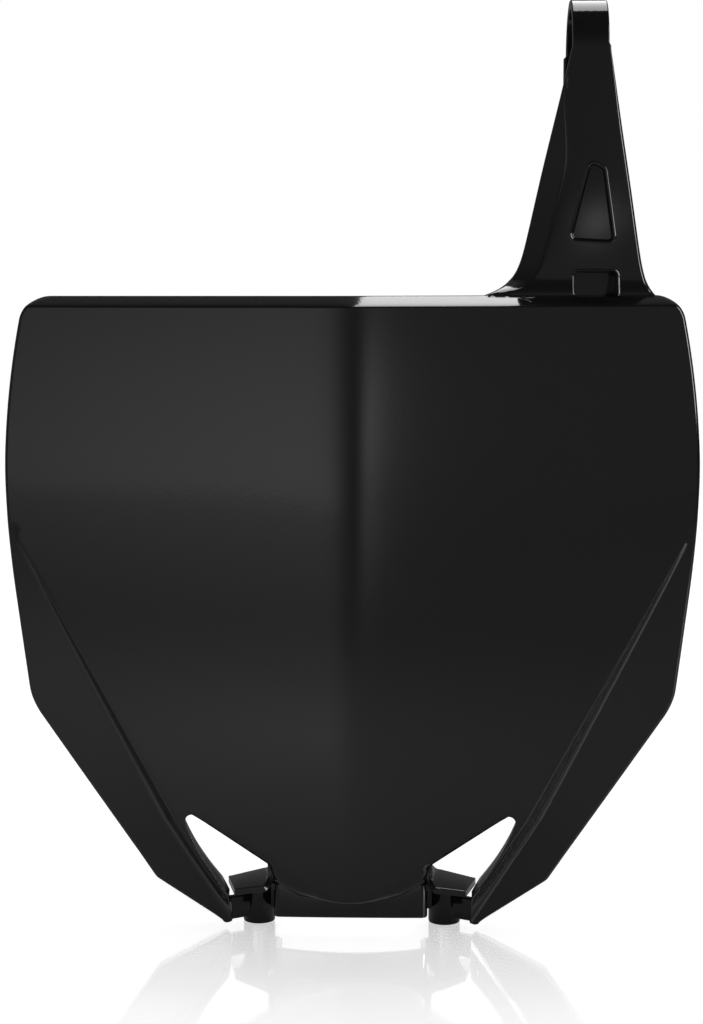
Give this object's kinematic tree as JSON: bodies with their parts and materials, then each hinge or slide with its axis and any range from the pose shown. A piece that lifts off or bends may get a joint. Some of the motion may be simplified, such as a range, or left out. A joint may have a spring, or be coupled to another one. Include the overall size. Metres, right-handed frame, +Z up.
{
  "type": "racing number board",
  "caption": "V-shaped front number board for a motocross motorbike, moulded in one piece, with an offset arm and a handlebar hook.",
  "frame": {"origin": "middle of the bounding box in X and Y, at the level of the two sockets' lower ends", "axes": "+Z up, -Y is the way the board faces, +X is the side of the arm, on the right in the front view"},
  "size_m": [0.2396, 0.0654, 0.3215],
  "materials": {
    "black_plastic": "gloss black, smooth moulded surface"
  },
  "bodies": {
    "root": {"number_board": "black_plastic"}
  },
  "joints": []
}
